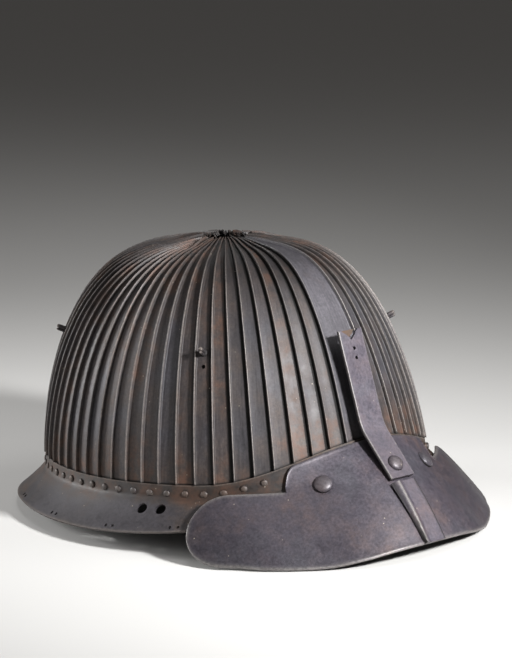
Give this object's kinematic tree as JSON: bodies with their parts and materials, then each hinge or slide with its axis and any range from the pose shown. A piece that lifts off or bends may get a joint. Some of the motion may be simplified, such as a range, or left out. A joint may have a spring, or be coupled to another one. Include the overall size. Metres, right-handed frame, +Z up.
{
  "type": "ribbed helmet bowl",
  "caption": "Ribbed iron helmet bowl of narrow riveted plates, with a visor, a flared neck plate and a standing crest holder.",
  "frame": {"origin": "middle of the footprint on the surface the helmet rests on, at the height of that surface", "axes": "+Z up, -Y towards the front where the visor is, +X towards the wearer's left"},
  "size_m": [0.2514, 0.3151, 0.1614],
  "materials": {
    "russet_iron": "dark brown patina, satin, worn on the ribs",
    "worn_iron": "brown patina with rust, matt",
    "dark_iron": "dark grey brown patina, satin"
  },
  "bodies": {
    "root": {"front_plate": "russet_iron", "rear_plate": "russet_iron", "right_front_plates": "russet_iron", "right_rear_plates": "russet_iron", "left_front_plates": "russet_iron", "left_rear_plates": "russet_iron", "neck_plate": "worn_iron", "visor": "dark_iron", "visor_centre_strip": "dark_iron", "crest_holder": "dark_iron", "centre_visor_rivet": "dark_iron", "right_visor_rivet": "dark_iron", "left_visor_rivet": "dark_iron", "right_front_stud": "worn_iron", "left_front_stud": "worn_iron", "right_rear_stud": "worn_iron", "left_rear_stud": "worn_iron"}
  },
  "joints": []
}
